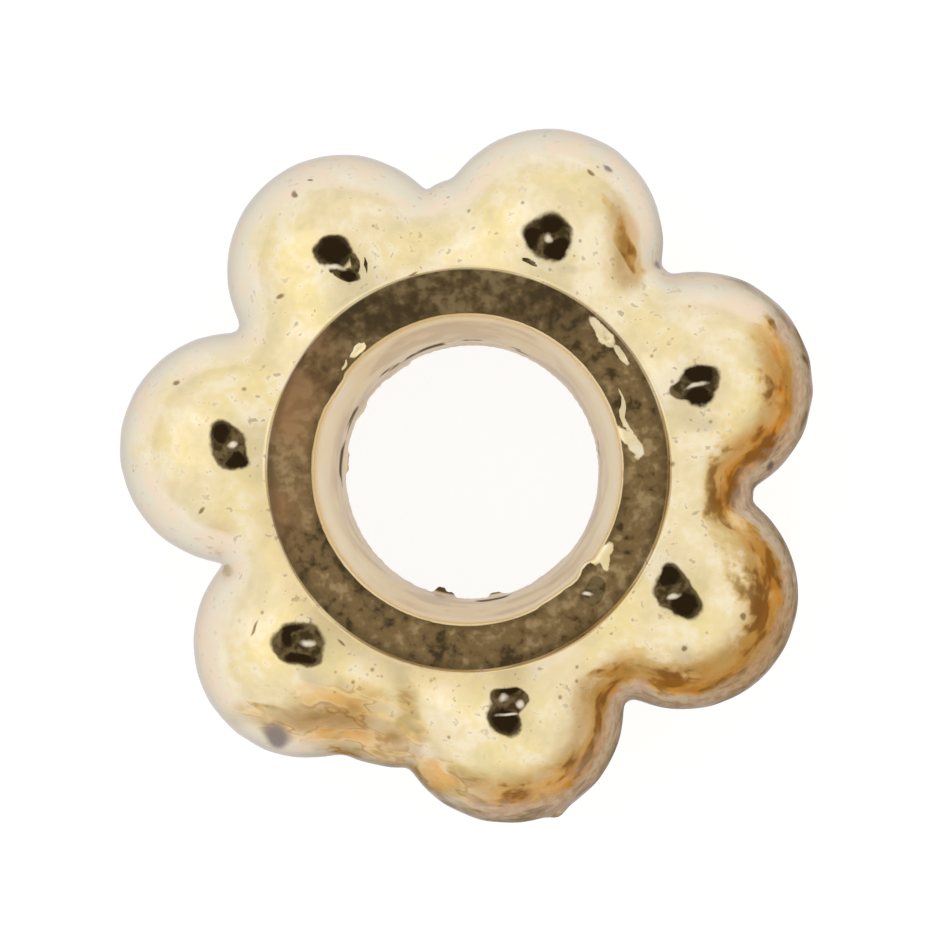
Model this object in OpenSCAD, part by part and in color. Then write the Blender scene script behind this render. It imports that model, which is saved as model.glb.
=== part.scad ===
// Daisy spacer bead, cast in one piece: ball petals round a ring with a flat rim on both
// faces and a thread hole that flares to both sides.
// Millimetres. The origin is the middle of the thread hole, +Z runs along the hole, and the
// first petal is on +X. Both faces are alike.

/* [Petals] */
// Number of ball petals round the ring
petal_count = 7; // [6:1:9]
// Diameter of the bead over its petals
bead_d = 8.1; // [7.9:0.05:8.3]
// Diameter of each ball petal
petal_d = 2.64; // [2.5:0.02:2.68]

/* [Rim] */
// Thickness of the bead from one flat rim to the other
bead_h = 2.7; // [2.7:0.05:3]
// Outer diameter of the rim, over its bevel
rim_d = 4.56; // [4.4:0.02:4.7]
// Diameter of the hole's mouth, inside the bevel of the rim
mouth_d = 3.44; // [3.3:0.02:3.7]
// Bevel along both edges of the flat rim
rim_bevel = 0.04; // [0.02:0.01:0.08]

/* [Thread hole] */
// Diameter of the hole at its narrowest, in the middle
bore_d = 2.86; // [2.6:0.02:3.1]
// Length of the straight stretch in the middle of the hole
bore_l = 0.9; // [0.6:0.1:1.4]

/* [Body] */
// Diameter of the round body between the petals, over its outside
body_d = 5.9; // [5.8:0.05:6]
// Thickness of the round body
body_h = 1.9; // [1.8:0.05:2]
// Thickness of the web of metal in the gap between two petals
web_h = 1.2; // [1:0.05:1.3]

/* [Sprue nub] */
// Diameter of the snapped-off stub's tip, where the metal was poured in
nub_tip_d = 0.18; // [0.1:0.02:0.3]
// How far the stub stands out past its petal
nub_out = 0.05; // [0.02:0.01:0.1]

/* [Hidden] */
$fn = 96;

// The metal's reach from the hole's axis in each gap, in turn from the gap after the first
// petal. The gaps were cast unevenly, and the fifth is nearly filled.
web_reach = [3.18, 3.3, 3.13, 3.07, 3.5, 3.15, 3.22];

gold = "#EDDDB0";
pitch = 360 / petal_count;
petal_r = petal_d / 2;
petal_ring_r = bead_d / 2 - petal_r;
petal_spacing = 2 * petal_ring_r * sin(pitch / 2);
rim_r = rim_d / 2;
rim_z = bead_h / 2;
mouth_r = mouth_d / 2;
bore_r = bore_d / 2;
body_tube_r = body_h / 2;
body_ring_r = body_d / 2 - body_tube_r;
// The stub is on the sixth petal, counted from 0, and a few degrees past the petal's middle
nub_petal = 5;
nub_turn = 6.5;
// The stub's root lies inside the petal, this far in from the bead's outside
nub_root_in = 0.3;
nub_root_d = 0.7;
// Extra length of the hole's cutter beyond each face
cut = 0.5;

// The ball petals, evenly round the ring
module petals() {
    for (i = [0 : petal_count - 1])
        rotate([0, 0, i * pitch])
            translate([petal_ring_r, 0, 0])
                sphere(r = petal_r);
}

// The round wreath that fills in behind the petals
module body() {
    rotate_extrude()
        translate([body_ring_r, 0])
            circle(r = body_tube_r);
}

// The tube whose two ends are the flat rims
module collar() {
    rotate_extrude()
        polygon([
            [bore_r, rim_z],
            [rim_r - rim_bevel, rim_z],
            [rim_r, rim_z - rim_bevel],
            [rim_r, rim_bevel - rim_z],
            [rim_r - rim_bevel, -rim_z],
            [bore_r, -rim_z],
        ]);
}

// Webs of cast metal across the gaps, each a round bar lying between two petals
module webs() {
    for (i = [0 : petal_count - 1])
        rotate([0, 0, (i + 0.5) * pitch])
            translate([web_reach[i % len(web_reach)] - web_h / 2, 0, 0])
                rotate([90, 0, 0])
                    cylinder(h = petal_spacing / 2, d = web_h, center = true);
}

// Tapered stub left where the runner was snapped off
module sprue_nub() {
    rotate([0, 0, nub_petal * pitch + nub_turn])
        translate([bead_d / 2 - nub_root_in, 0, 0])
            rotate([0, 90, 0])
                cylinder(h = nub_root_in + nub_out, d1 = nub_root_d, d2 = nub_tip_d);
}

// The hole: a straight stretch in the middle, flared to a bevelled mouth on each face
module thread_hole() {
    straight_z = bore_l / 2;
    mouth_z = rim_z - rim_bevel;
    rotate_extrude()
        polygon([
            [0, rim_z + cut],
            [mouth_r + rim_bevel + cut, rim_z + cut],
            [mouth_r, mouth_z],
            [bore_r, straight_z],
            [bore_r, -straight_z],
            [mouth_r, -mouth_z],
            [mouth_r + rim_bevel + cut, -rim_z - cut],
            [0, -rim_z - cut],
        ]);
}

module daisy_spacer() {
    color(gold)
        difference() {
            union() {
                body();
                collar();
                petals();
                webs();
                sprue_nub();
            }
            thread_hole();
        }
}

daisy_spacer();
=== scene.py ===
import math

import bpy
import numpy as np
from mathutils import Matrix, Vector


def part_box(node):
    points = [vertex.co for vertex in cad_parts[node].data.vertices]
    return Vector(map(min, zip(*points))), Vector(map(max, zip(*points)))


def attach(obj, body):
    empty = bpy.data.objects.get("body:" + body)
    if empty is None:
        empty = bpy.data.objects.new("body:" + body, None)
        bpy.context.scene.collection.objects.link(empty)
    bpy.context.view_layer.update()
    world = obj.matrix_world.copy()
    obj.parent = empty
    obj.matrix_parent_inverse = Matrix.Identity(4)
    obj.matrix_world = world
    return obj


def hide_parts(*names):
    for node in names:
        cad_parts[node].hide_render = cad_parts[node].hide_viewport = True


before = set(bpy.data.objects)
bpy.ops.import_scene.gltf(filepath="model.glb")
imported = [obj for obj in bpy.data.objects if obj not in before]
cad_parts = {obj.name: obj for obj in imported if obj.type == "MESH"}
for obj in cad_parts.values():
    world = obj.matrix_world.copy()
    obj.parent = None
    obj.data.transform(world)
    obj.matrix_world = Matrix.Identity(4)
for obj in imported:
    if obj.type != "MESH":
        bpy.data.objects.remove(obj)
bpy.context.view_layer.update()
print("frame loaded:", sorted(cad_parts))

mm = 0.001
beadNode = "daisy_spacer"
beadLow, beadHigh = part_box(beadNode)
firstPetalTurn = 20.5  # degrees anticlockwise from the picture's right, seen from above


class Wire:
    # A value on its way through a node tree, so that nodes read as sums
    def __init__(self, tree, socket):
        self.tree = tree
        self.socket = socket

    def math(self, operation, *others):
        node = self.tree.nodes.new("ShaderNodeMath")
        node.operation = operation
        for socket, value in zip(node.inputs, (self, *others)):
            plug(self.tree, value, socket)
        return Wire(self.tree, node.outputs[0])

    def vector(self, operation, *others):
        node = self.tree.nodes.new("ShaderNodeVectorMath")
        node.operation = operation
        for socket, value in zip(node.inputs, (self, *others)):
            plug(self.tree, value, socket)
        isNumber = operation in ("LENGTH", "DOT_PRODUCT")
        return Wire(self.tree, node.outputs["Value" if isNumber else "Vector"])

    def upPart(self):
        node = addNode(self.tree, "ShaderNodeSeparateXYZ", inputs={"Vector": self})
        return Wire(self.tree, node.outputs["Z"])

    def __add__(self, other):
        return self.math("ADD", other)

    def __sub__(self, other):
        return self.math("SUBTRACT", other)

    def __mul__(self, other):
        return self.math("MULTIPLY", other)

    def __truediv__(self, other):
        return self.math("DIVIDE", other)

    def __neg__(self):
        return self.math("MULTIPLY", -1.0)

    def atLeast(self, other):
        return self.math("MAXIMUM", other)

    def atMost(self, other):
        return self.math("MINIMUM", other)

    def rest(self):
        return -self + 1.0

    def ramp(self, start, end, low=0.0, high=1.0, kind="SMOOTHSTEP"):
        node = self.tree.nodes.new("ShaderNodeMapRange")
        node.interpolation_type = kind
        names = ("Value", "From Min", "From Max", "To Min", "To Max")
        for name, value in zip(names, (self, start, end, low, high)):
            plug(self.tree, value, node.inputs[name])
        return Wire(self.tree, node.outputs["Result"])

    def between(self, first, second):
        # A colour on the way from the first to the second, by this share
        node = self.tree.nodes.new("ShaderNodeMix")
        node.data_type = "RGBA"
        used = [socket for socket in node.inputs if socket.enabled]
        for socket, value in zip(used, (self, first, second)):
            plug(self.tree, value, socket)
        return Wire(self.tree, next(socket for socket in node.outputs if socket.enabled))


def plug(tree, value, socket):
    # Feeds a socket from a wire, from another socket, or with a plain value
    if isinstance(value, Wire):
        tree.links.new(value.socket, socket)
    elif isinstance(value, bpy.types.NodeSocket):
        tree.links.new(value, socket)
    else:
        socket.default_value = value


def addNode(tree, kind, settings=None, inputs=None):
    node = tree.nodes.new(kind)
    for name, value in (settings or {}).items():
        setattr(node, name, value)
    for name, value in (inputs or {}).items():
        plug(tree, value, node.inputs[name])
    return node


# The form of the bead. Lengths are in metres. Turns are in degrees anticlockwise round the
# hole from the first petal, seen from above.
bead = {
    "petals": 7,
    "petalRadius": 1.31 * mm,
    "reach": beadHigh[0] - 0.02 * mm,  # from the hole's axis to the outside of a petal
    "bodyRing": 2.0 * mm,  # the round body is a tube bent round at this radius
    "bodyRadius": 0.95 * mm,
    "rimHeight": beadHigh[2],  # from the middle of the bead up to the flat rim
    "rimRadius": 2.25 * mm,
    "mouthRadius": 1.72 * mm,
    "boreRadius": 1.43 * mm,
    "boreHalf": 0.45 * mm,  # half the straight stretch of the hole
    "bevel": 0.045 * mm,
    "edgeSoftness": 0.02 * mm,
    "footSoftness": 0.3 * mm,  # where the petals meet the collar
    "gapSoftness": 0.14 * mm,  # where two petals and the body meet, at the bead's outside
    "valleySoftness": 4.5,  # how many times more than that is added towards the collar
    "shoulderOut": 0.2 * mm,  # how far the body's top swells past its round tube
    "stepsPerPetal": 76,
    "waveHeight": 0.008 * mm,  # uneven casting under the plating
    "waveLength": 0.45 * mm,
    "seed": 4,
    # metal in the gap after each petal: (how far it stands out of the body, its turn off the
    # middle of the gap, half its width in degrees)
    "gaps": (
        (0.22 * mm, 0.0, 18.0),
        (0.37 * mm, -3.0, 16.0),
        (0.17 * mm, -0.5, 18.0),
        (0.08 * mm, 0.0, 18.0),
        (0.6 * mm, -6.0, 46.0),
        (0.19 * mm, 1.0, 18.0),
        (0.23 * mm, 0.5, 16.0),
    ),
    # each petal's turn off its even place, and how far it stands out past the others
    "petalTurn": (0.3, -0.3, -0.6, -0.5, 0.0, 1.1, 0.8),
    "petalOut": (0.0, 0.0, 0.0, -0.02 * mm, -0.05 * mm, -0.03 * mm, 0.03 * mm),
    # stub of the sprue, and the faint seam that the two halves of the mould left
    "nub": {"turn": 263.7, "out": 0.06 * mm, "size": 0.11 * mm},
    "seam": {"out": 0.008 * mm, "size": 0.035 * mm, "ragged": 0.4},
    # dents in the top rim: (turn, radius, half length, half width, depth)
    "rimDents": (
        (26.5, 2.15 * mm, 0.25 * mm, 0.09 * mm, 0.02 * mm),
        (17.5, 2.17 * mm, 0.14 * mm, 0.07 * mm, 0.015 * mm),
        (112.0, 1.82 * mm, 0.14 * mm, 0.06 * mm, 0.03 * mm),
    ),
    # where the flat rim spreads into the mouth of the hole: (turn, half length, how far)
    "rimLips": (
        (299.5, 0.11 * mm, 0.05 * mm),
        (284.0, 0.3 * mm, 0.02 * mm),
        (128.0, 0.2 * mm, 0.03 * mm),
    ),
    # flakes of metal that stand into the hole: (turn, half length, how far they stand in)
    "flakes": (
        (236.0, 0.12 * mm, 0.085 * mm),
        (261.0, 0.09 * mm, 0.045 * mm),
        (130.0, 0.1 * mm, 0.025 * mm),
        (155.0, 0.16 * mm, 0.03 * mm),
        (106.0, 0.2 * mm, 0.02 * mm),
        (290.0, 0.25 * mm, 0.015 * mm),
    ),
    # how far the marks spread and how ragged they are
    "marks": {
        "waves": (20, 70),  # how many waves round the bead the ragged line has
        "topFrom": 0.75,  # share of the rim's height at which the top's marks begin
        "topOver": 0.2,
        "dentSlope": 0.45,
        "dentRagged": 0.12,
        "lipWidth": 0.1 * mm,
        "lipRagged": 0.2,
        "flakeHeight": 0.1 * mm,
        "flakeRagged": 0.3,
        "endAt": 1.3,  # lips and flakes run out at this many half lengths
        "holeOver": 0.4 * mm,  # distance over which the hole's roughness sets in
        "holeRoughness": 0.005 * mm,
    },
    # steps across the upper half of the section, from the bead's outermost line to the hole
    "steps": {
        "side": 34,
        "foot": 10,
        "outerBevel": 4,
        "rim": 14,
        "innerBevel": 4,
        "flare": 10,
        "bore": 8,
        "sideEnds": 70.0,  # degrees up from the outermost line at which the side's steps end
    },
}


def sectionStations():
    # How the steps across the bead are shared out over the upper half of its section:
    # (steps, direction from the middle of the section at which the stretch ends)
    steps = bead["steps"]
    bevel = bead["bevel"]
    outer = bead["rimRadius"] - bead["bodyRing"]
    inner = bead["mouthRadius"] - bead["bodyRing"]
    bore = bead["boreRadius"] - bead["bodyRing"]
    top = bead["rimHeight"]
    return [
        (steps["side"], math.radians(steps["sideEnds"])),
        (steps["foot"], math.atan2(top - bevel, outer)),
        (steps["outerBevel"], math.atan2(top, outer - bevel)),
        (steps["rim"], math.atan2(top, inner + bevel)),
        (steps["innerBevel"], math.atan2(top - bevel, inner)),
        (steps["flare"], math.atan2(bead["boreHalf"], bore)),
        (steps["bore"], math.pi),
    ]


def planeReach(across, up, cosine, sine, distance):
    # Distance from the middle of the section out to a flat face, along one direction. A
    # direction that never meets the face gives a very large distance.
    leastLean = 0.0001
    lean = cosine * across + sine * up
    return distance / lean.atLeast(leastLean)


def makeBeadTree():
    # The whole bead as one closed skin: a tube bent into a ring, each point of which is
    # pushed out from the middle of the section to the furthest of body, petal and collar,
    # and held back by the flat rims and the hole
    tree = bpy.data.node_groups.new("daisyBead", "GeometryNodeTree")
    for name, value in beadInputs().items():
        kind = "NodeSocketInt" if isinstance(value, int) else "NodeSocketFloat"
        tree.interface.new_socket(name, in_out="INPUT", socket_type=kind)
    tree.interface.new_socket("material", in_out="INPUT", socket_type="NodeSocketMaterial")
    tree.interface.new_socket("Geometry", in_out="OUTPUT", socket_type="NodeSocketGeometry")
    given = addNode(tree, "NodeGroupInput")
    g = {socket.name: Wire(tree, socket) for socket in given.outputs[:-1]}

    # Two circles that only carry the step numbers round and across
    stations = sectionStations()
    halfSteps = sum(steps for steps, angle in stations)
    roundSteps = g["petals"] * g["stepsPerPetal"]
    loops = {}
    guides = (("round", roundSteps, g["bodyRing"]), ("across", 2 * halfSteps, g["bodyRadius"]))
    for name, count, size in guides:
        circle = addNode(
            tree, "GeometryNodeCurvePrimitiveCircle", inputs={"Resolution": count, "Radius": size}
        )
        step = addNode(tree, "GeometryNodeInputIndex").outputs[0]
        loops[name] = addNode(
            tree,
            "GeometryNodeStoreNamedAttribute",
            {"data_type": "FLOAT", "domain": "POINT"},
            {"Geometry": circle.outputs["Curve"], "Name": name, "Value": step},
        )
    skin = addNode(
        tree,
        "GeometryNodeCurveToMesh",
        inputs={"Curve": loops["round"].outputs[0], "Profile Curve": loops["across"].outputs[0]},
    )

    def readStep(name):
        node = addNode(tree, "GeometryNodeInputNamedAttribute", inputs={"Name": name})
        return Wire(tree, node.outputs[0])

    # Direction within the section, from the share of steps that each stretch has
    signedStep = readStep("across") - halfSteps
    stepUp = signedStep.math("ABSOLUTE")
    direction = None
    firstStep = 0
    firstAngle = 0.0
    for steps, angle in stations:
        part = stepUp.ramp(firstStep, firstStep + steps, 0.0, angle - firstAngle, "LINEAR")
        direction = part if direction is None else direction + part
        firstStep += steps
        firstAngle = angle
    cosine = direction.math("COSINE")
    sine = direction.math("SINE")
    turn = readStep("round") / roundSteps * math.tau

    # The nearest petal's ball, cut by this section
    pitch = g["petals"].math("POWER", -1.0) * math.tau
    off = turn - (turn / pitch).math("ROUND") * pitch
    petalRing = g["reach"] - g["petalRadius"]
    along = petalRing * off.math("COSINE") - g["bodyRing"]
    aside = petalRing * off.math("SINE")
    middle = cosine * along
    depth = middle * middle - along * along - aside * aside + g["petalRadius"] * g["petalRadius"]
    petal = middle + depth.atLeast(0.0).math("SQRT")

    # The round body, with a swollen top, and wider where metal filled a gap
    outward = cosine.atLeast(0.0)
    upward = sine * sine
    body = g["bodyRadius"] + g["shoulderOut"] * upward
    for gap in range(bead["petals"]):
        fromMiddle = (turn - pitch * (gap + 0.5) - g[f"gap{gap}Turn"]).math("ABSOLUTE")
        fill = fromMiddle.ramp(0.0, g[f"gap{gap}Half"], g[f"gap{gap}Out"], 0.0)
        body = body + fill * outward * outward

    # Faces of the collar, and those that the hole and the flat rims cut
    outer = g["rimRadius"] - g["bodyRing"]
    inner = g["bodyRing"] - g["mouthRadius"]
    slant = math.sqrt(0.5)
    wall = planeReach(1.0, 0.0, cosine, sine, outer)
    outerBevel = planeReach(slant, slant, cosine, sine, (outer + g["rimHeight"] - g["bevel"]) * slant)
    collar = wall.math("SMOOTH_MIN", outerBevel, g["edgeSoftness"])
    flat = planeReach(0.0, 1.0, cosine, sine, g["rimHeight"])
    innerBevel = planeReach(-slant, slant, cosine, sine, (inner + g["rimHeight"] - g["bevel"]) * slant)
    straight = planeReach(-1.0, 0.0, cosine, sine, g["bodyRing"] - g["boreRadius"])
    flareRise = g["rimHeight"] - g["bevel"] - g["boreHalf"]
    flareRun = g["mouthRadius"] - g["boreRadius"]
    flareLength = (flareRise * flareRise + flareRun * flareRun).math("SQRT")
    across = -flareRise / flareLength
    up = flareRun / flareLength
    flareAt = up * g["boreHalf"] - across * (g["bodyRing"] - g["boreRadius"])
    flare = planeReach(across, up, cosine, sine, flareAt)
    limit = flat.math("SMOOTH_MIN", innerBevel, g["edgeSoftness"])
    limit = limit.math("SMOOTH_MIN", flare, g["edgeSoftness"])
    limit = limit.math("SMOOTH_MIN", straight, g["footSoftness"])

    softness = g["gapSoftness"] * (upward * g["valleySoftness"] + 1.0)
    out = body.math("SMOOTH_MAX", petal, softness)
    out = out.math("SMOOTH_MAX", collar, g["footSoftness"])
    out = out.math("SMOOTH_MIN", limit, g["edgeSoftness"])

    radius = g["bodyRing"] + out * cosine
    height = out * sine * signedStep.math("SIGN")
    place = addNode(
        tree,
        "ShaderNodeCombineXYZ",
        inputs={"X": radius * turn.math("COSINE"), "Y": radius * turn.math("SINE"), "Z": height},
    )
    shaped = addNode(
        tree,
        "GeometryNodeSetPosition",
        inputs={"Geometry": skin.outputs[0], "Position": place.outputs[0]},
    )

    # Uneven casting: a slow swell along the surface's own direction, but not on the flat rims
    here = Wire(tree, addNode(tree, "GeometryNodeInputPosition").outputs[0])
    wavesPerMetre = g["waveLength"].math("POWER", -1.0)
    swell = addNode(
        tree,
        "ShaderNodeTexNoise",
        {"noise_dimensions": "4D"},
        {"Vector": here, "W": g["seed"], "Scale": wavesPerMetre, "Detail": 2.0},
    )
    belowRim = g["rimHeight"] - here.upPart().math("ABSOLUTE")
    loose = belowRim.ramp(0.0, g["bevel"] * 2.0)
    lift = (Wire(tree, swell.outputs[0]) - 0.5) * g["waveHeight"] * 2.0 * loose
    outwards = addNode(
        tree,
        "ShaderNodeVectorMath",
        {"operation": "SCALE"},
        {"Vector": addNode(tree, "GeometryNodeInputNormal").outputs[0], "Scale": lift},
    )
    uneven = addNode(
        tree,
        "GeometryNodeSetPosition",
        inputs={"Geometry": shaped.outputs[0], "Offset": outwards.outputs[0]},
    )
    whole = addNode(tree, "GeometryNodeRealizeInstances", inputs={"Geometry": uneven.outputs[0]})
    smooth = addNode(tree, "GeometryNodeSetShadeSmooth", inputs={"Geometry": whole.outputs[0]})
    dressed = addNode(
        tree,
        "GeometryNodeSetMaterial",
        inputs={"Geometry": smooth.outputs[0], "Material": g["material"]},
    )
    addNode(tree, "NodeGroupOutput", inputs={"Geometry": dressed.outputs[0]})
    return tree


def beadInputs():
    # The values that the tree's inputs take: every plain number of the dictionary, and the gaps
    values = {name: value for name, value in bead.items() if isinstance(value, (int, float))}
    for gap, (out, turn, half) in enumerate(bead["gaps"]):
        values[f"gap{gap}Out"] = out
        values[f"gap{gap}Turn"] = math.radians(turn)
        values[f"gap{gap}Half"] = math.radians(half)
    return values


def bakeTree(name, tree, values):
    # Runs a geometry tree on an empty object and keeps the result as a plain mesh
    holder = bpy.data.objects.new(name + "Maker", bpy.data.meshes.new(name + "Maker"))
    bpy.context.collection.objects.link(holder)
    maker = holder.modifiers.new("maker", "NODES")
    maker.node_group = tree
    for item in tree.interface.items_tree:
        if item.in_out == "INPUT":
            maker[item.identifier] = values[item.name]
    evaluated = holder.evaluated_get(bpy.context.evaluated_depsgraph_get())
    result = bpy.data.meshes.new_from_object(evaluated)
    bpy.data.objects.remove(holder)
    result.name = name
    piece = bpy.data.objects.new(name, result)
    bpy.context.collection.objects.link(piece)
    return piece


def smoothStep(share):
    share = np.clip(share, 0.0, 1.0)
    return share * share * (3 - 2 * share)


def hump(distance, size):
    return np.exp(-((distance / size) ** 2))


def wrap(angle):
    return (angle + math.pi) % math.tau - math.pi


def roundNoise(turn, waves, seed):
    # A wavy line round the bead that closes on itself, mostly between -1 and 1
    draw = np.random.default_rng(seed)
    total = np.zeros_like(turn)
    for wave in waves:
        total += draw.normal() * np.cos(wave * turn) + draw.normal() * np.sin(wave * turn)
    return total / math.sqrt(2 * len(waves))


def addCastMarks(mesh):
    # Petals off their even places, and the marks of casting and of wear, by moving points
    count = len(mesh.vertices)
    points = np.empty(count * 3, np.float32)
    mesh.vertices.foreach_get("co", points)
    points = points.reshape(-1, 3).astype(float)
    radius = np.hypot(points[:, 0], points[:, 1])
    turn = np.arctan2(points[:, 1], points[:, 0])
    height = points[:, 2].copy()
    pitch = math.tau / bead["petals"]
    marks = bead["marks"]
    ragged = roundNoise(turn, range(*marks["waves"]), bead["seed"] + 1)

    outside = np.clip((radius - bead["rimRadius"]) / mm, 0.0, 1.0)
    shift = np.zeros(count)
    stretch = np.zeros(count)
    weights = np.zeros(count)
    for petal, (off, out) in enumerate(zip(bead["petalTurn"], bead["petalOut"])):
        near = hump(wrap(turn - petal * pitch), pitch / 2)
        shift += near * math.radians(off)
        stretch += near * out
        weights += near
    turn = turn + shift / weights
    radius = radius + stretch / weights * outside
    nub = bead["nub"]
    aside = wrap(turn - math.radians(nub["turn"])) * radius
    radius = radius + nub["out"] * hump(np.hypot(aside, height), nub["size"]) * outside
    seam = bead["seam"]
    seamShare = 1 - seam["ragged"] + seam["ragged"] * ragged
    radius = radius + seam["out"] * seamShare * hump(height, seam["size"]) * outside

    # Only points near the top face take the rim's dents and lips
    top = smoothStep((height / bead["rimHeight"] - marks["topFrom"]) / marks["topOver"])
    for at, across, halfLength, halfWidth, depth in bead["rimDents"]:
        aside = wrap(turn - math.radians(at)) * across / halfLength
        inside = (radius - across) / halfWidth
        edge = 1 - np.hypot(aside, inside) + marks["dentRagged"] * ragged
        height = height - depth * smoothStep(edge / marks["dentSlope"]) * top
    innerEdge = hump(radius - bead["mouthRadius"], marks["lipWidth"]) * top
    for at, halfLength, out in bead["rimLips"]:
        aside = wrap(turn - math.radians(at)) * bead["mouthRadius"] / halfLength
        share = smoothStep(marks["endAt"] - np.abs(aside) + marks["lipRagged"] * ragged)
        radius = radius - out * innerEdge * share

    inHole = np.clip((bead["bodyRing"] - radius) / marks["holeOver"], 0.0, 1.0)
    rough = np.abs(ragged) * marks["holeRoughness"]
    for at, halfLength, standIn in bead["flakes"]:
        aside = wrap(turn - math.radians(at)) * bead["boreRadius"] / halfLength
        share = smoothStep(marks["endAt"] - np.abs(aside) + marks["flakeRagged"] * ragged)
        rough = rough + standIn * share
    radius = radius - hump(height, marks["flakeHeight"]) * inHole * rough

    height = np.clip(height, -bead["rimHeight"], bead["rimHeight"])
    points = np.stack([radius * np.cos(turn), radius * np.sin(turn), height], axis=1)
    mesh.vertices.foreach_set("co", points.astype(np.float32).ravel())
    mesh.update()


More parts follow.
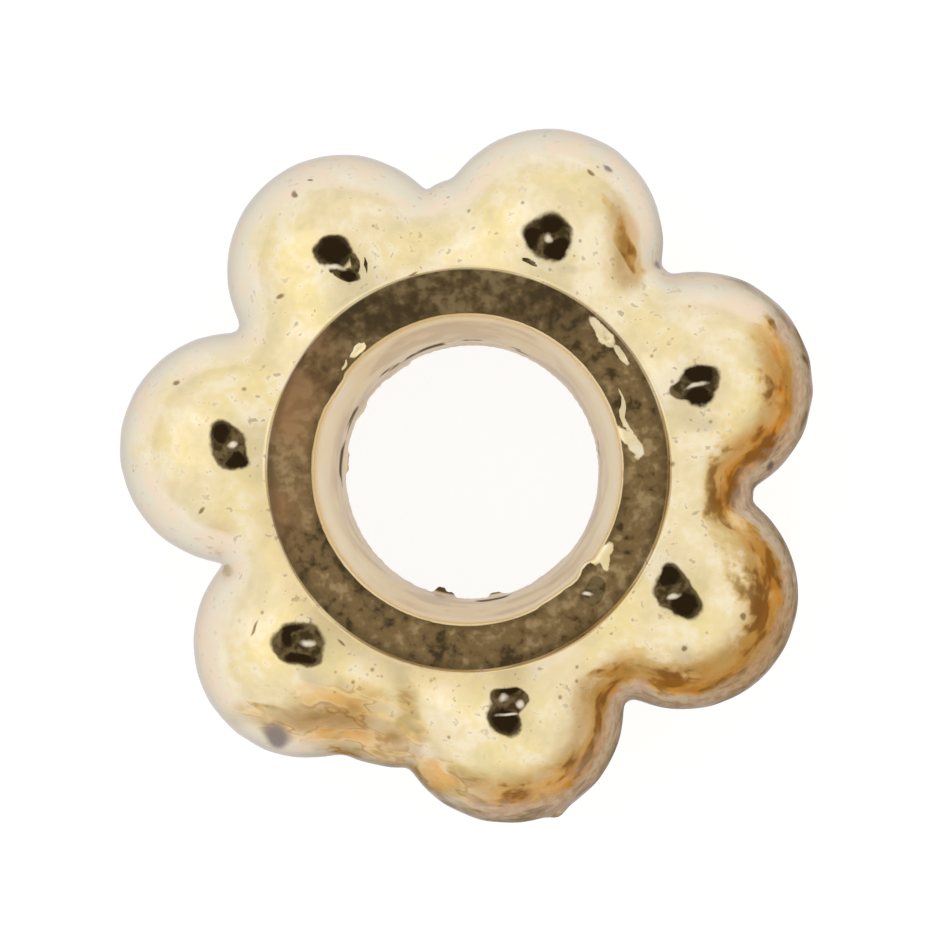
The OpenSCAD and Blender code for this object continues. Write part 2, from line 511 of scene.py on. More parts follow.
# The finish of the metal, with the reflections, highlights and shade painted on it. Lengths are in
# millimetres. Places are (right, up) in the picture's directions from the hole's axis, and turns are
# degrees anticlockwise from right.
gold = {
    "pale": (0.84, 0.7, 0.43, 1.0),
    "lemon": (0.85, 0.7, 0.36, 1.0),
    "cream": (0.92, 0.82, 0.6, 1.0),
    "moss": (0.67, 0.59, 0.33, 1.0),
    "rose": (0.85, 0.7, 0.48, 1.0),  # painted reflection of the table on the steep sides
    "ash": (0.8, 0.73, 0.53, 1.0),
    "grazing": (0.76, 0.75, 0.73, 1.0),  # how much of the light stays where it skims the surface
    "grazingDark": (0.2, 0.15, 0.1, 1.0),  # and on the side with tarnish and painted reflection, and on stains
    # the salmon band is a painted reflection of the neighbouring beads; the other tones serve the tarnish
    # and the stains
    "salmon": (0.54, 0.36, 0.21, 1.0),
    "honey": (0.8, 0.57, 0.25, 1.0),
    "buff": (0.63, 0.47, 0.26, 1.0),
    "olive": (0.46, 0.36, 0.14, 1.0),
    "amber": (0.55, 0.29, 0.07, 1.0),
    "orange": (0.74, 0.38, 0.08, 1.0),
    "umber": (0.22, 0.1, 0.025, 1.0),
    "russet": (0.38, 0.17, 0.05, 1.0),
    "grimeAndShade": (0.25, 0.19, 0.13, 1.0),  # grime and painted shade along the outermost line of the petals
    "bore": (0.86, 0.7, 0.43, 1.0),
    "boreDull": (0.72, 0.56, 0.34, 1.0),
    "boreBright": (0.96, 0.83, 0.56, 1.0),
    # the painted reflection of the dark camera opening on the flat rims; its darkest tone also colours
    # the dark flecks in the hole
    "darkFleckAndRimReflection": (0.055, 0.035, 0.012, 1.0),
    "rimReflection": (0.19, 0.122, 0.048, 1.0),
    "rimReflectionLight": (0.34, 0.24, 0.115, 1.0),
    "rimReflectionRed": (0.32, 0.165, 0.07, 1.0),
    # the painted reflections of the dark camera opening on the petals' tops
    "reflectedLensCore": (0.025, 0.015, 0.006, 1.0),
    "dot": (0.06, 0.04, 0.015, 1.0),
    "reflectedLensPale": (0.17, 0.12, 0.055, 1.0),
    # a painted highlight
    "glint": (0.86, 0.76, 0.58, 1.0),
    "pit": (0.25, 0.16, 0.065, 1.0),
    "smudge": (0.2, 0.16, 0.15, 1.0),
    # the tone of the painted grey reflections beside the dark spots
    "greyReflectionTone": (0.62, 0.51, 0.34, 1.0),
    "roughness": 0.2,
    "boreRoughness": 0.36,
    "darkPlaceRoughness": 0.5,
    "rimReflectionMetallic": 0.7,
    "markStrength": 0.85,  # share of a stain's, smudge's, pit's or fleck's own colour
    # sizes of the clouds in the finish
    "slowSize": 0.95,
    "quickSize": 0.4,
    "raggedSize": 0.52,
    "grainSize": 0.1,
    "pushSize": 0.3,
    "lineSize": 0.5,
    "wallSize": 0.6,
    "reliefSize": 0.25,
    # shares of a cloud over which a tone sets in
    "lemonFrom": (0.4, 0.6),
    "creamFrom": (0.46, 0.64),
    "mossFrom": (0.47, 0.35),
    "ashFrom": (0.4, 0.58),
    "umberFrom": (0.51, 0.61),
    "freckleFrom": (0.62, 0.72),
    "boreFrom": (0.36, 0.6),
    "fleckFrom": (0.54, 0.6),
    "rimReflectionFrom": (0.38, 0.49),
    "rimReflectionLightFrom": (0.5, 0.61),
    # how far up the surface faces where the tarnish with painted reflection sets in, and its depth where
    # its tones do
    "tarnishAndReflectionSlope": (0.92, 0.6),
    "honeyFrom": (0.05, 0.4),
    "amberFrom": (0.35, 0.85),
    # turns towards which something grows, and the stretches over which it does so
    "tarnishAndReflectionTowards": -35.0,
    "tarnishAndReflectionGrows": (-1.6, 2.7),
    "thinTarnishAndReflectionTurn": -90.0,
    "thinTarnishAndReflectionGrows": (2.2, 3.0),
    "brightHoleTurn": 10.0,  # painted light: the hole's wall is brightest on this side and across from it
    "brightHoleGrows": (0.8, 1.5),
    "darkRimTurn": 100.0,
    "darkRimGrows": (0.8, 2.0),
    "redRimTurn": 165.0,
    "redRimGrows": (1.3, 2.3),
    "footShadeTurn": 240.0,
    "footShadeGrows": (0.6, 2.2),
    "darkBoreTurn": 135.0,
    # distances from the hole's axis over which something sets in
    "tarnishFrom": (2.55, 2.75),
    "seamFrom": (2.6, 2.8),
    "footFrom": (2.65, 2.3),
    "pitsFrom": (3.4, 2.4),
    "flakesFrom": (1.42, 1.39),
    # heights over the middle of the bead between which something sets in
    "topFrom": (-0.1, 0.2),
    "tarnishAndReflectionAbove": (-0.7, -0.1),
    "patchyBelow": (-0.5, 0.1),
    "smudgesAbove": (0.1, 0.4),
    "seamBelow": (0.1, 0.02),
    "brightWallAbove": (0.6, 1.1),
    "mouthAbove": (1.1, 1.25),
    "flecksBelow": (0.54, 0.48),
    "flecksAbove": (0.28, 0.38),
    "reflectedLensAbove": (0.9, 1.0),
    # other lengths and sizes
    "lineCrowding": 3.0,  # how closely lines of tarnish follow each other down a shoulder
    "pitSpacing": 0.21,
    "spotSway": 0.15,  # how far the edges of pits and bright places sway
    "seamRagged": 0.4,
    "mouthFade": 0.05,
    "wallFlatness": 2.5,  # how much lower than long the streaks on the hole's wall are
    "rimEdgeFrom": (0.13, 0.23),  # distance from the rim's middle line over which it darkens
    "bevelFade": 0.15,
    "rimGrain": 0.012,
    "rimBelow": (0.018, 0.008),  # depth under the flat rim over which the painted dark reflection sets in
    "rimOutside": (0.015, -0.01),  # distance past the rim's edge over which it ends
    "waveBump": 0.004,
    "grainBump": 0.001,
    # painted reflections of the dark camera opening on the petals' tops: (right, up, half length, half
    # width, turn)
    "reflectedLensSpots": (
        (2.59, 0.95, 0.25, 0.23, 0.0),
        (2.45, 0.89, 0.17, 0.14, 10.0),
        (0.9, 2.63, 0.28, 0.25, 0.0),
        (0.7, 2.34, 0.1, 0.025, -30.0),
        (-1.53, 2.45, 0.2, 0.19, 0.0),
        (-1.39, 2.18, 0.19, 0.06, -15.0),
        (-1.3, 2.29, 0.06, 0.12, 20.0),
        (-1.16, 2.3, 0.1, 0.02, -60.0),
        (-2.68, 0.28, 0.3, 0.19, -52.0),
        (-1.89, -1.96, 0.31, 0.26, -10.0),
        (0.45, -2.6, 0.21, 0.15, 0.0),
        (0.41, -2.84, 0.19, 0.19, 0.0),
        (2.44, -1.5, 0.19, 0.25, 25.0),
        (2.3, -1.34, 0.21, 0.24, 10.0),
        (1.41, -1.36, 0.17, 0.13, 40.0),
    ),
    # where those spots are nearly black, with the same columns
    "reflectedLensCores": (
        (2.57, 1.06, 0.21, 0.14, -12.0),
        (2.62, 0.8, 0.21, 0.13, 12.0),
        (0.92, 2.74, 0.22, 0.12, -12.0),
        (0.72, 2.6, 0.09, 0.14, 0.0),
        (0.99, 2.48, 0.17, 0.1, 15.0),
        (-1.53, 2.46, 0.19, 0.17, 0.0),
        (-1.36, 2.17, 0.13, 0.05, -20.0),
        (-2.76, 0.39, 0.13, 0.12, 0.0),
        (-2.58, 0.12, 0.12, 0.09, -20.0),
        (-2.06, -1.92, 0.06, 0.12, 20.0),
        (-1.88, -2.12, 0.18, 0.07, 5.0),
        (-1.96, -1.78, 0.15, 0.05, 5.0),
        (0.44, -2.49, 0.17, 0.05, 0.0),
        (0.41, -2.85, 0.17, 0.16, 0.0),
        (2.44, -1.54, 0.17, 0.2, 20.0),
        (2.25, -1.22, 0.17, 0.08, 0.0),
    ),
    # painted highlights in and beside the dark spots, with the same columns
    "glints": (
        (2.57, 0.94, 0.16, 0.03, 25.0),
        (0.88, 2.61, 0.045, 0.045, 0.0),
        (-1.52, 2.28, 0.15, 0.035, -10.0),
        (-2.64, 0.26, 0.06, 0.04, 20.0),
        (-1.8, -1.94, 0.09, 0.05, 15.0),
        (0.38, -2.58, 0.06, 0.04, 0.0),
        (0.57, -2.64, 0.06, 0.05, 0.0),
        (0.45, -2.74, 0.14, 0.02, 0.0),
        (2.29, -1.41, 0.1, 0.035, 35.0),
        (1.36, -1.4, 0.07, 0.03, 10.0),
    ),
    # places on the top rim that the painted dark reflection leaves out, with the same columns
    "rimReflectionGaps": (
        (1.51, 1.5, 0.22, 0.07, -50.0),
        (1.74, 1.26, 0.12, 0.055, -50.0),
        (1.8, 0.34, 0.24, 0.08, -52.0),
        (1.75, 0.66, 0.3, 0.03, -68.0),
        (1.5, -0.93, 0.2, 0.08, 57.0),
        (1.56, -1.03, 0.13, 0.06, -65.0),
        (-1.42, 1.16, 0.07, 0.015, 55.0),
    ),
    # single pits that show, with the same columns
    "pits": (
        (-1.99, 3.1, 0.045, 0.04, 0.0),
        (-1.82, 3.28, 0.05, 0.02, 0.0),
        (-3.3, 0.98, 0.06, 0.035, 50.0),
        (-2.14, 1.95, 0.06, 0.045, 30.0),
        (1.4, 3.35, 0.06, 0.03, -45.0),
        (-3.02, -0.45, 0.07, 0.025, 40.0),
        (-2.4, -1.8, 0.09, 0.02, 65.0),
        (-1.4, -1.95, 0.08, 0.02, -30.0),
        (3.1, -1.65, 0.05, 0.035, 60.0),
        (2.42, -1.98, 0.05, 0.03, -20.0),
        (-0.62, 2.22, 0.07, 0.02, 25.0),
    ),
    # stains on the web of the fifth gap and in the valleys, with the same columns
    "stains": (
        (-2.1, -2.82, 0.55, 0.17, -8.0),
        (-1.35, -2.72, 0.6, 0.32, -12.0),
        (-0.66, -2.85, 0.16, 0.5, 10.0),
        (-1.25, -3.06, 0.8, 0.17, -9.0),
        (-0.3, -3.45, 0.6, 0.2, -18.0),
    ),
    # tarnish away from the petals' shoulders, with the same columns
    "tarnishSpots": (
        (1.72, -2.27, 0.4, 0.1, 5.0),
        (1.72, 2.68, 0.5, 0.075, -70.0),
        (0.42, -3.57, 0.62, 0.1, -4.0),
        (-0.3, -3.47, 0.36, 0.08, -21.0),
        (-0.7, -2.95, 0.4, 0.05, 85.0),
        (-2.15, -2.72, 0.4, 0.05, -20.0),
    ),
    # painted grey reflections beside the dark spots, with the same columns
    "greyReflections": (
        (2.6, 0.55, 0.24, 0.12, 0.0),
        (1.13, 2.26, 0.16, 0.1, -20.0),
        (-1.72, -2.33, 0.22, 0.15, 0.0),
        (2.41, -2.05, 0.16, 0.14, 0.0),
    ),
    # tables of spots that are wide enough to be kept with the mesh's points, how unevenly their
    # edges sway, over what size, and the furthest that is told, in half widths of a spot
    "keptTables": ("reflectedLensSpots", "reflectedLensCores", "rimReflectionGaps", "stains", "tarnishSpots", "smudges", "greyReflections"),
    "sway": 0.025,
    "swaySize": 0.1,
    "furthest": 4.0,
    "streakTurn": -18.0,  # the way the stains run, and the size of a streak along and across it
    "streakSize": (0.55, 0.2, 0.4),
    # grey smudges, with the same columns
    "smudges": (
        (-2.18, -2.99, 0.17, 0.12, 0.0),
        (2.09, 2.34, 0.045, 0.07, 0.0),
        (1.54, 3.4, 0.05, 0.035, -40.0),
        (3.77, 1.25, 0.035, 0.12, 10.0),
        (3.38, 0.09, 0.06, 0.04, 40.0),
    ),
}


def flatNoise(places, size, seed):
    # A wavy surface over flat places, mostly between -1 and 1
    draw = np.random.default_rng(seed)
    waves = 12
    total = np.zeros(len(places))
    for wave in range(waves):
        direction = draw.normal(size=2) / size
        total += np.cos(places @ direction + draw.uniform(0.0, math.tau))
    return total / math.sqrt(waves / 2)


def addSpotShares(mesh):
    # Keeps with each point of the mesh how far inside the nearest oval of each table it lies:
    # 1 at the oval's middle, 0 at its edge
    points = np.empty(len(mesh.vertices) * 3, np.float32)
    mesh.vertices.foreach_get("co", points)
    points = points.reshape(-1, 3).astype(float) / mm
    turn = math.radians(firstPetalTurn)
    right = points[:, 0] * math.cos(turn) - points[:, 1] * math.sin(turn)
    up = points[:, 0] * math.sin(turn) + points[:, 1] * math.cos(turn)
    flat = np.stack([right, up], axis=1)
    right = right + gold["sway"] * flatNoise(flat, gold["swaySize"], bead["seed"] + 2)
    up = up + gold["sway"] * flatNoise(flat, gold["swaySize"], bead["seed"] + 3)
    for name in gold["keptTables"]:
        nearest = np.full(len(points), gold["furthest"])
        for ovalRight, ovalUp, halfLength, halfWidth, ovalTurn in gold[name]:
            cosine = math.cos(math.radians(ovalTurn))
            sine = math.sin(math.radians(ovalTurn))
            lengthwise = ((right - ovalRight) * cosine + (up - ovalUp) * sine) / halfLength
            widthwise = ((up - ovalUp) * cosine - (right - ovalRight) * sine) / halfWidth
            nearest = np.minimum(nearest, np.hypot(lengthwise, widthwise))
        kept = mesh.attributes.new(name, "FLOAT", "POINT")
        kept.data.foreach_set("value", (1 - nearest).astype(np.float32))


def cloud(tree, place, size, detail=2.0, output=0):
    # Cloudy noise, from 0 to 1, whose clouds have the given size
    node = addNode(
        tree, "ShaderNodeTexNoise", inputs={"Vector": place, "Scale": 1 / size, "Detail": detail}
    )
    return Wire(tree, node.outputs[output])


def insideOvals(place, rows):
    # How far inside the nearest oval a place lies: 1 at its middle, 0 at its edge. The
    # place's third value is 1, so that one product measures it along each axis of an oval.
    nearest = None
    for right, up, halfLength, halfWidth, turn in rows:
        cosine = math.cos(math.radians(turn))
        sine = math.sin(math.radians(turn))
        lengthAxis = (cosine, sine, -right * cosine - up * sine)
        widthAxis = (-sine, cosine, right * sine - up * cosine)
        lengthwise = place.vector("DOT_PRODUCT", [value / halfLength for value in lengthAxis])
        widthwise = place.vector("DOT_PRODUCT", [value / halfWidth for value in widthAxis])
        outside = widthwise.math("MULTIPLY_ADD", widthwise, lengthwise * lengthwise)
        nearest = outside if nearest is None else nearest.atMost(outside)
    return nearest.math("SQRT").rest()


def makeGold():
    material = bpy.data.materials.new("antiqueGold")
    material.use_nodes = True
    tree = material.node_tree
    shader = tree.nodes["Principled BSDF"]
    coordinates = addNode(tree, "ShaderNodeTexCoord")
    turned = {"Rotation": (0.0, 0.0, math.radians(firstPetalTurn))}
    placeNode = addNode(
        tree,
        "ShaderNodeMapping",
        inputs={"Vector": coordinates.outputs["Object"], "Scale": (1 / mm,) * 3, **turned},
    )
    place = Wire(tree, placeNode.outputs[0])
    facingNode = addNode(
        tree, "ShaderNodeMapping", inputs={"Vector": coordinates.outputs["Normal"], **turned}
    )
    facing = Wire(tree, facingNode.outputs[0])
    faceUp = facing.upPart().math("ABSOLUTE")
    flatPlace = place.vector("MULTIPLY", (1.0, 1.0, 0.0))
    fromAxis = flatPlace.vector("LENGTH")
    rise = place.upPart()
    onTop = rise.ramp(*gold["topFrom"])
    height = rise.math("ABSOLUTE")

    def along(turn):
        # How far the place lies from the axis in one direction of the picture
        angle = math.radians(turn)
        return flatPlace.vector("DOT_PRODUCT", (math.cos(angle), math.sin(angle), 0.0))

    def kept(name):
        # How far inside the nearest oval of a table the place lies, as kept with the mesh
        return Wire(tree, addNode(tree, "ShaderNodeAttribute", {"attribute_name": name}).outputs["Fac"])

    # Clouds of several sizes, and the flat place moved about so that spots have uneven edges
    slow = cloud(tree, place, gold["slowSize"], 1.0)
    quick = cloud(tree, place, gold["quickSize"])
    ragged = cloud(tree, place, gold["raggedSize"], 4.0)
    grain = cloud(tree, place, gold["grainSize"])
    push = cloud(tree, place, gold["pushSize"], 1.0, output=1)
    push = push.vector("SUBTRACT", (0.5, 0.5, 0.5))
    sway = (gold["spotSway"], gold["spotSway"], 0.0)
    shaken = push.vector("MULTIPLY_ADD", sway, flatPlace).vector("ADD", (0.0, 0.0, 1.0))

    # Plating: pale, with lemon, creamy and mossy clouds, and rose or ash where it is steep, a painted
    # reflection of the table
    mixed = quick * 0.75 + grain * 0.25
    colour = slow.ramp(*gold["lemonFrom"]).between(gold["pale"], gold["lemon"])
    colour = (mixed.ramp(*gold["creamFrom"]) * 0.8).between(colour, gold["cream"])
    colour = (mixed.ramp(*gold["mossFrom"]) * 0.4).between(colour, gold["moss"])
    steepTone = ragged.ramp(*gold["ashFrom"]).between(gold["rose"], gold["ash"])
    uneven = faceUp + (slow - 0.5) * 0.4 + (ragged - 0.5) * 0.7
    steep = faceUp.ramp(0.97, 0.5) * 0.4 + uneven.ramp(0.78, 0.54) * 0.6
    colour = steep.between(colour, steepTone)

    # Tarnish, partly a painted reflection of the neighbouring beads, on one side of the bead, along the
    # shoulders of the petals: it deepens down the slope from honey over amber to umber, lies in lines
    # that follow the shoulder, and ends against a salmon band, also a painted reflection of those beads
    towards = math.radians(gold["tarnishAndReflectionTowards"])
    sideways = facing.vector("MULTIPLY", (1.0, 1.0, 0.0)).vector("NORMALIZE")
    onSide = along(gold["tarnishAndReflectionTowards"]).ramp(*gold["tarnishAndReflectionGrows"], kind="LINEAR")
    faceSide = sideways.vector("DOT_PRODUCT", (math.cos(towards), math.sin(towards), 0.0))
    faceSide = (faceSide + onSide * 0.9).ramp(0.7, 1.2)
    faceOut = sideways.vector("DOT_PRODUCT", flatPlace.vector("NORMALIZE")).ramp(-0.5, 0.0)
    share = faceSide * faceOut * onSide.ramp(0.35, 0.6) * fromAxis.ramp(*gold["tarnishFrom"])
    share = share * rise.ramp(*gold["tarnishAndReflectionAbove"], 0.3, 1.0)
    patchy = rise.ramp(*gold["patchyBelow"], 1.3, 0.5)
    slope = faceUp + (ragged - 0.5) * patchy + (grain - 0.5) * 0.2
    shoulder = facing.vector("MULTIPLY_ADD", (0.0, 0.0, gold["lineCrowding"]), flatPlace)
    line = cloud(tree, shoulder, gold["lineSize"], 3.0)
    mottle = ragged.ramp(0.36, 0.64) * 0.4 + line.ramp(0.36, 0.62) * 0.6 + (grain - 0.5) * 0.8
    narrower = along(gold["thinTarnishAndReflectionTurn"]).ramp(*gold["thinTarnishAndReflectionGrows"], 0.0, 0.13)
    deep = (slope + narrower).ramp(*gold["tarnishAndReflectionSlope"]) * share * (mottle + 0.4)
    tarnishSpot = kept("tarnishSpots").ramp(-0.3, 0.7) * onTop * ragged.ramp(0.38, 0.52, 0.3, 1.0)
    deep = deep.atLeast(tarnishSpot * (mottle + 0.25))
    amber = quick.ramp(0.42, 0.58).between(gold["amber"], gold["orange"])
    tarnishedAndReflected = deep.ramp(*gold["honeyFrom"]).between(colour, gold["honey"])
    tarnishedAndReflected = deep.ramp(*gold["amberFrom"]).between(tarnishedAndReflected, amber)
    tarnishedAndReflected = (deep.ramp(0.1, 0.4) * slow.ramp(0.52, 0.42) * 0.4).between(tarnishedAndReflected, gold["olive"])
    umberShare = deep.ramp(0.2, 0.6) * line.ramp(*gold["umberFrom"]) * 0.75
    tarnishedAndReflected = umberShare.between(tarnishedAndReflected, gold["umber"])
    salmonShare = (ragged * 0.5 + grain * 0.5).ramp(0.6, 0.4, 0.4, 0.9) * share
    outer = salmonShare.between(colour, gold["salmon"])
    outer = (share * line.ramp(0.55, 0.64) * 0.55).between(outer, gold["grimeAndShade"])
    colour = slope.ramp(0.46, 0.6).between(outer, tarnishedAndReflected)

    # Streaky stains in the valleys, grey smudges, and painted grey reflections beside the dark spots
    streakPlace = addNode(
        tree,
        "ShaderNodeMapping",
        {"vector_type": "TEXTURE"},
        {
            "Vector": place,
            "Rotation": (0.0, 0.0, math.radians(gold["streakTurn"])),
            "Scale": gold["streakSize"],
        },
    )
    streak = cloud(tree, streakPlace.outputs[0], 1.0)
    stain = kept("stains").ramp(-0.4, 0.5) * onTop
    stainTone = streak.ramp(0.4, 0.56).between(gold["buff"], gold["honey"])
    colour = (stain * gold["markStrength"]).between(colour, stainTone)
    colour = (stain * quick.ramp(0.5, 0.38) * 0.6).between(colour, gold["olive"])
    colour = (stain * streak.ramp(0.53, 0.64) * 0.55).between(colour, amber)
    vein = (streak - 0.5).math("ABSOLUTE").ramp(0.04, 0.0) * ragged.ramp(0.4, 0.55, 0.1, 0.5)
    colour = (stain * vein).between(colour, gold["russet"])
    smudge = kept("smudges").ramp(-0.2, 0.6) * rise.ramp(*gold["smudgesAbove"])
    colour = (smudge * gold["markStrength"]).between(colour, gold["smudge"])
    # Painted grey reflections beside the dark spots
    greyReflections = kept("greyReflections").ramp(-0.2, 0.7) * onTop * quick.ramp(0.3, 0.7, 0.4, 0.9)
    colour = greyReflections.between(colour, gold["greyReflectionTone"])

    # Grime and painted shade along the seam at the bead's outermost line, and painted shade at the
    # collar's foot
    seamHeight = height + (ragged - 0.5) * gold["seamRagged"]
    nearSeam = seamHeight.ramp(*gold["seamBelow"]) * fromAxis.ramp(*gold["seamFrom"])
    seamGrimeAndShade = nearSeam * mottle.ramp(0.3, 0.8) * onSide.ramp(0.0, 0.8, 0.25, 0.6)
    colour = seamGrimeAndShade.between(colour, gold["grimeAndShade"])
    footSide = along(gold["footShadeTurn"]).ramp(*gold["footShadeGrows"])
    foot = fromAxis.ramp(*gold["footFrom"]) * footSide * grain.ramp(0.3, 0.6, 0.3, 0.6)
    colour = foot.between(colour, gold["buff"])

    # Pits in the plating: strewn ones, more of them near the collar, and single ones that
    # show in the photograph
    strewn = addNode(
        tree, "ShaderNodeTexVoronoi", inputs={"Vector": place, "Scale": 1 / gold["pitSpacing"]}
    )
    strewnColour = addNode(tree, "ShaderNodeSeparateColor", inputs={0: strewn.outputs["Color"]})
    chance = Wire(tree, strewnColour.outputs[0])
    pitSize = chance.ramp(0.3, 1.0, 0.0, 0.16) * fromAxis.ramp(*gold["pitsFrom"], 0.7, 1.0)
    strewnPit = (pitSize - Wire(tree, strewn.outputs["Distance"])).ramp(-0.03, 0.08)
    singlePit = insideOvals(shaken, gold["pits"]).ramp(-0.1, 0.6) * onTop
    pit = (strewnPit * 0.75).atLeast(singlePit)
    freckle = grain.ramp(*gold["freckleFrom"]) * fromAxis.ramp(*gold["pitsFrom"], 0.15, 0.5)
    colour = (pit * gold["markStrength"]).atLeast(freckle).between(colour, gold["pit"])

    # The hole's wall, streaked round, with painted light on two opposite sides and a painted highlight at
    # the mouth, and dark flecks where it is narrowest
    mouth = bead["mouthRadius"] / mm
    inHole = fromAxis.ramp(mouth + gold["mouthFade"], mouth)
    flattened = place.vector("MULTIPLY", (1.0, 1.0, gold["wallFlatness"]))
    roundStreak = cloud(tree, flattened, gold["wallSize"])
    wall = roundStreak.ramp(*gold["boreFrom"]).between(gold["boreDull"], gold["bore"])
    brightSide = along(gold["brightHoleTurn"]).math("ABSOLUTE").ramp(*gold["brightHoleGrows"])
    bright = brightSide * height.ramp(*gold["brightWallAbove"])
    wall = bright.atLeast(height.ramp(*gold["mouthAbove"])).between(wall, gold["boreBright"])
    colour = inHole.between(colour, wall)
    fleckShare = quick * 0.4 + ragged * 0.6 + along(gold["darkBoreTurn"]) * 0.035
    fleckBand = height.ramp(*gold["flecksBelow"]) * height.ramp(*gold["flecksAbove"])
    fleck = fleckBand * fleckShare.ramp(*gold["fleckFrom"]) * inHole
    fleck = fleck.atLeast(fromAxis.ramp(*gold["flakesFrom"]))
    colour = (fleck * gold["markStrength"]).between(colour, gold["darkFleckAndRimReflection"])

    # A painted reflection of the dark camera opening overhead, drawn as dark patina on the flat rims
    # and over their outer bevels, darkest along the edges
    shade = grain * 0.35 + ragged * 0.35 + quick * 0.3
    rimReflection = shade.ramp(*gold["rimReflectionFrom"]).between(gold["darkFleckAndRimReflection"], gold["rimReflection"])
    rimReflection = shade.ramp(*gold["rimReflectionLightFrom"]).between(rimReflection, gold["rimReflectionLight"])
    redShare = along(gold["redRimTurn"]).ramp(*gold["redRimGrows"]) * slow.ramp(0.4, 0.55, 0.2, 0.8)
    rimReflection = redShare.between(rimReflection, gold["rimReflectionRed"])
    rimMiddle = (bead["rimRadius"] + bead["mouthRadius"]) / 2 / mm
    rimEdge = (fromAxis - rimMiddle).math("ABSOLUTE").ramp(*gold["rimEdgeFrom"])
    darkSide = along(gold["darkRimTurn"]).ramp(*gold["darkRimGrows"])
    shadow = darkSide * shade.ramp(0.42, 0.56, 0.95, 0.5)
    shadow = shadow.atLeast(rimEdge * 0.4)
    rimReflection = shadow.between(rimReflection, gold["darkFleckAndRimReflection"])
    overBevel = fromAxis.ramp(rimMiddle, rimMiddle + gold["bevelFade"]) * (bead["bevel"] / mm)
    rimLevel = height + overBevel + (grain - 0.5) * gold["rimGrain"]
    onRim = rimLevel.ramp(*(bead["rimHeight"] / mm - depth for depth in gold["rimBelow"]))
    onRim = onRim * fromAxis.ramp(*(bead["rimRadius"] / mm + past for past in gold["rimOutside"]))
    bare = kept("rimReflectionGaps") * 0.7 + (grain - 0.5) * 0.5
    onRim = onRim * (bare.ramp(-0.08, 0.08) * onTop).rest()
    colour = onRim.between(colour, rimReflection)

    # Painted reflections of the dark camera opening on the tops of the petals, and painted highlights in
    # them
    spot = (kept("reflectedLensSpots") + (grain - 0.5) * 0.3).ramp(-0.12, 0.1) * height.ramp(*gold["reflectedLensAbove"])
    reflectedLensTone = grain.ramp(0.36, 0.62).between(gold["dot"], gold["reflectedLensPale"])
    core = (kept("reflectedLensCores") + (grain - 0.5) * 0.9).ramp(-0.1, 0.3)
    colour = spot.between(colour, core.between(reflectedLensTone, gold["reflectedLensCore"]))
    glint = (insideOvals(shaken, gold["glints"]) + (grain - 0.5) * 0.9).ramp(-0.2, 0.8) * onTop
    colour = glint.between(colour, gold["glint"])

    # The metal keeps less of the light that skims its side with tarnish and painted reflection
    skimShare = onSide.ramp(0.2, 0.9, 0.1, 0.9).atLeast(stain * 0.9)
    skimShare = skimShare * ragged.ramp(0.35, 0.6, 0.4, 1.0)
    skimmed = (skimShare * inHole.rest()).between(gold["grazing"], gold["grazingDark"])
    plug(tree, skimmed, shader.inputs["Specular Tint"])

    # Dark places, the painted dark reflections and the flecks, and the tarnish with painted reflection
    # are duller
    dark = onRim.atLeast(spot).atLeast(fleck) * glint.rest()
    plug(tree, colour, shader.inputs["Base Color"])
    plug(tree, onRim.ramp(0.0, 1.0, 1.0, gold["rimReflectionMetallic"]), shader.inputs["Metallic"])
    roughness = inHole.ramp(0.0, 1.0, gold["roughness"], gold["boreRoughness"]) + (quick - 0.5) * 0.15
    roughness = roughness + deep.atMost(1.0) * 0.1 + pit * 0.2
    roughness = roughness + dark * (gold["darkPlaceRoughness"] - gold["roughness"])
    plug(tree, roughness, shader.inputs["Roughness"])

    # Fine unevenness under the plating
    wave = cloud(tree, place, gold["reliefSize"], 1.0)
    relief = wave * gold["waveBump"] + grain * gold["grainBump"]
    bump = addNode(tree, "ShaderNodeBump", inputs={"Height": relief, "Distance": mm})
    plug(tree, bump.outputs["Normal"], shader.inputs["Normal"])
    return material


beadPiece = bakeTree("daisyBead", makeBeadTree(), {**beadInputs(), "material": makeGold()})
addCastMarks(beadPiece.data)
addSpotShares(beadPiece.data)
print("bead made:", len(beadPiece.data.vertices), "points,", len(beadPiece.data.polygons), "faces")
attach(beadPiece, "root")
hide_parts(beadNode)

# A pale glowing table under the bead, and a white tent over it
studio = {
    "floorSide": 1.0,
    "floorColour": (0.2, 0.199, 0.197, 1.0),
    "floorGlow": (0.86, 0.856, 0.851, 1.0),
    "floorRoughness": 0.7,
    "floorSpecular": 0.2,
    "mirroredGlow": (0.8, 0.81, 0.93, 1.0),  # the floor's glow as the metal mirrors it
    "mirroredMat": (0.56, 0.42, 0.28, 1.0),  # and on the side of the brown card
    "matReach": (0.4 * mm, 2.4 * mm),  # how far outside the bead that side darkens
    "tentColour": (1.0, 0.995, 0.985, 1.0),
    "tentBright": 1.03,
    "overheadBright": 0.85,
    "overheadEdge": 35.0,  # degrees from straight up at which the tent is fully bright
    "lowBright": 0.94,  # where the tent meets the table, as the metal mirrors it
    "lowEdge": 22.0,  # degrees above the table at which the tent is fully bright
    "cardColour": (0.64, 0.5, 0.33, 1.0),  # a brown card that stands low on one side
    "cardTowards": -35.0,  # in the picture, as the tarnish with painted reflection
    "cardSpread": (0.1, 0.6),  # sideways share of a direction over which the card sets in
    "cardEdge": 34.0,  # degrees above the table at which it ends
    "cardFull": 0.1,  # upward share of a direction below which it is fully brown
    "lampStrength": 0.1,
    "lampAngle": 60.0,
    "lampTilt": (-30.0, 20.0),  # degrees from straight up, towards +X and +Y
}


def cardDirection():
    turn = math.radians(studio["cardTowards"] - firstPetalTurn)
    return math.cos(turn), math.sin(turn), 0.0


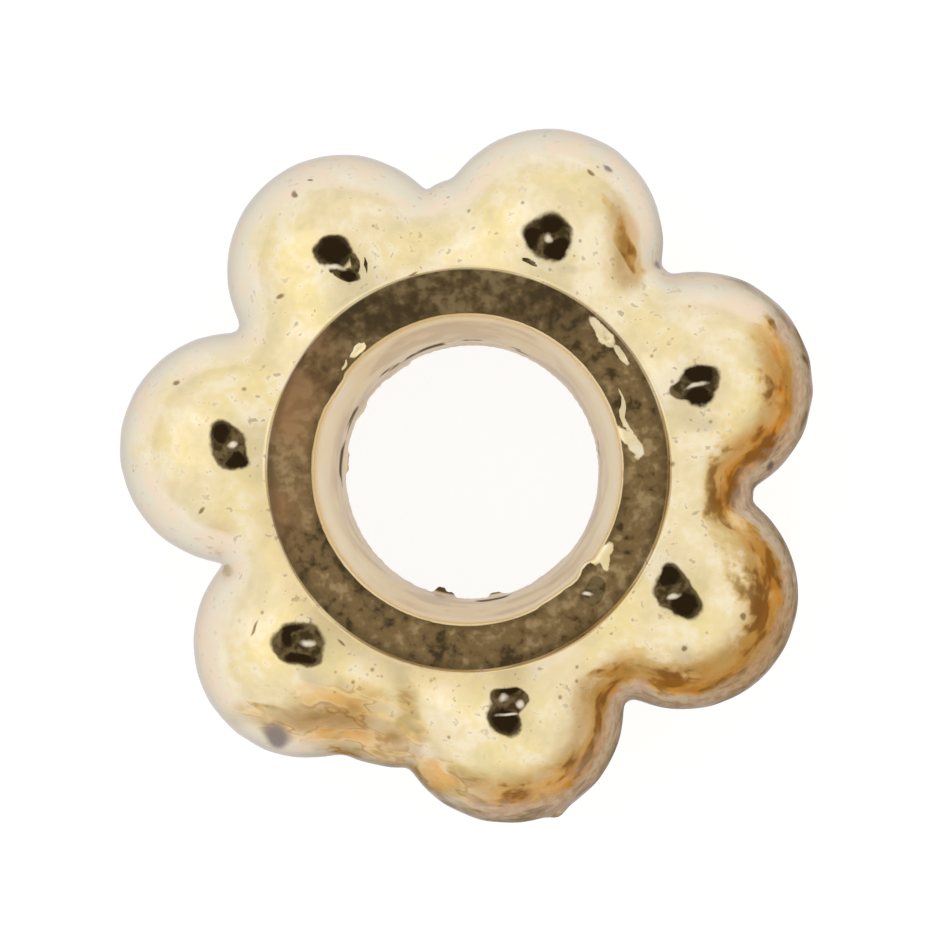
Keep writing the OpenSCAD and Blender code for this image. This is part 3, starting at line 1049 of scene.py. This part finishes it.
def makeFloor():
    half = studio["floorSide"] / 2
    height = beadLow[2]
    mesh = bpy.data.meshes.new("floor")
    corners = [(-half, -half, height), (half, -half, height), (half, half, height), (-half, half, height)]
    mesh.from_pydata(corners, [], [(0, 1, 2, 3)])
    floor = bpy.data.objects.new("floor", mesh)
    bpy.context.collection.objects.link(floor)
    material = bpy.data.materials.new("paleTable")
    material.use_nodes = True
    tree = material.node_tree
    shader = tree.nodes["Principled BSDF"]
    shader.inputs["Base Color"].default_value = studio["floorColour"]
    shader.inputs["Roughness"].default_value = studio["floorRoughness"]
    shader.inputs["Specular IOR Level"].default_value = studio["floorSpecular"]
    shader.inputs["Emission Strength"].default_value = 1.0
    place = Wire(tree, addNode(tree, "ShaderNodeTexCoord").outputs["Object"])
    cardSide = place.vector("DOT_PRODUCT", cardDirection())
    near, far = studio["matReach"]
    mat = cardSide.ramp(beadHigh[0] + near, beadHigh[0] + far)
    mirrored = mat.between(studio["mirroredGlow"], studio["mirroredMat"])
    inView = Wire(tree, addNode(tree, "ShaderNodeLightPath").outputs["Is Camera Ray"])
    plug(tree, inView.between(mirrored, studio["floorGlow"]), shader.inputs["Emission Color"])
    mesh.materials.append(material)


def makeTent():
    world = bpy.data.worlds.new("tent")
    world.use_nodes = True
    bpy.context.scene.world = world
    tree = world.node_tree
    back = tree.nodes["Background"]
    direction = Wire(tree, addNode(tree, "ShaderNodeTexCoord").outputs["Generated"])
    up = direction.upPart()
    edge = math.cos(math.radians(studio["overheadEdge"]))
    dome = up.ramp(edge, 1.0, studio["tentBright"], studio["overheadBright"])
    dome = up.ramp(0.0, math.sin(math.radians(studio["lowEdge"])), studio["lowBright"], dome)
    card = direction.vector("DOT_PRODUCT", cardDirection()).ramp(*studio["cardSpread"])
    card = card * up.ramp(math.sin(math.radians(studio["cardEdge"])), studio["cardFull"])
    inView = Wire(tree, addNode(tree, "ShaderNodeLightPath").outputs["Is Camera Ray"])
    card = card * inView.rest()
    plug(tree, card.between(studio["tentColour"], studio["cardColour"]), back.inputs["Color"])
    plug(tree, inView.ramp(0.0, 1.0, dome, studio["tentBright"]), back.inputs["Strength"])
    lamp = bpy.data.lights.new("overheadLamp", "SUN")
    lamp.energy = studio["lampStrength"]
    lamp.angle = math.radians(studio["lampAngle"])
    lampObject = bpy.data.objects.new("overheadLamp", lamp)
    tiltX, tiltY = (math.radians(tilt) for tilt in studio["lampTilt"])
    towards = Vector((math.tan(tiltX), math.tan(tiltY), 1.0))
    lampObject.rotation_euler = towards.to_track_quat("Z", "Y").to_euler()
    bpy.context.collection.objects.link(lampObject)


# The camera looks almost straight down, from the side on which the middle of the photograph lies
shot = {
    "distance": 0.1256,
    "width": 10.7 * mm,  # seen across the picture at the bead
    "tilt": 2.5,  # degrees from straight down
    "tiltTowards": (0.877, -0.481),  # right and up in the picture
    "sensor": 36.0,
    "clip": (0.05, 20.0),  # nearest and furthest that is seen, in camera distances
}


def makeCamera():
    turn = math.radians(-firstPetalTurn)
    right = Vector((math.cos(turn), math.sin(turn), 0.0))
    up = Vector((-math.sin(turn), math.cos(turn), 0.0))
    tilt = math.radians(shot["tilt"])
    across, along = shot["tiltTowards"]
    back = (right * across + up * along) * math.sin(tilt) + Vector((0.0, 0.0, math.cos(tilt)))
    back.normalize()
    cameraRight = (right - back * right.dot(back)).normalized()
    cameraUp = back.cross(cameraRight)
    data = bpy.data.cameras.new("camera")
    data.sensor_width = shot["sensor"]
    data.lens = shot["sensor"] * shot["distance"] / shot["width"]
    near, far = shot["clip"]
    data.clip_start = shot["distance"] * near
    data.clip_end = shot["distance"] * far
    camera = bpy.data.objects.new("camera", data)
    bpy.context.collection.objects.link(camera)
    camera.matrix_world = Matrix.Translation(back * shot["distance"]) @ Matrix(
        (cameraRight, cameraUp, back)
    ).transposed().to_4x4()
    bpy.context.scene.camera = camera


makeFloor()
makeTent()
makeCamera()
bpy.context.scene.view_settings.view_transform = "Standard"
print("stage, light and camera set")
